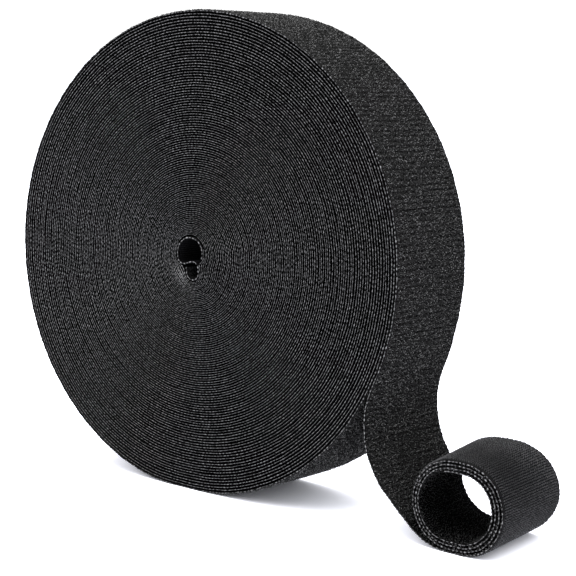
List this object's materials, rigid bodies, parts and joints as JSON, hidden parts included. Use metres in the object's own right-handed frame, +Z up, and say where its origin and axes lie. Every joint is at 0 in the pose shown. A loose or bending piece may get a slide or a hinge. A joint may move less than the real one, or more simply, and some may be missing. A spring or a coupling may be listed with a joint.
{
  "type": "hook and loop tape roll",
  "caption": "Coreless roll of black back-to-back hook and loop tape standing on its rim, outer end let down to the floor and curled up.",
  "frame": {"origin": "middle of the flat that the roll stands on, on the floor under the roll's axis", "axes": "+Z up; +Y along the roll's axis from the front face to the back face; +X along the floor to the curled end"},
  "size_m": [0.2077, 0.04, 0.1634],
  "materials": {
    "wound_tape": "matt woven nylon edges",
    "loop_tape": "matt brushed nylon loops",
    "hook_tape": "satin nylon hooks on a woven ground"
  },
  "bodies": {
    "roll": {"inner_windings": "wound_tape", "outer_windings_loop_layer": "loop_tape", "outer_windings_hook_layer": "hook_tape", "inner_end_loop_layer": "loop_tape", "inner_end_hook_layer": "hook_tape"},
    "tail": {"tail_loop_layer": "loop_tape", "tail_hook_layer": "hook_tape"},
    "end_curl": {"end_curl_loop_layer": "loop_tape", "end_curl_hook_layer": "hook_tape"}
  },
  "joints": [
    {"name": "lead_off_flex", "type": "hinge", "parent": "roll", "child": "tail", "pos_m": [0.07563, 0, 0.04789], "axis": [0, -1, 0], "range_deg": [0, 60], "stiffness_Nm_per_rad": 0.02},
    {"name": "tail_flex", "type": "hinge", "parent": "tail", "child": "end_curl", "pos_m": [0.08352, 0, 0.01356], "axis": [0, -1, 0], "range_deg": [0, 35], "stiffness_Nm_per_rad": 0.02}
  ]
}
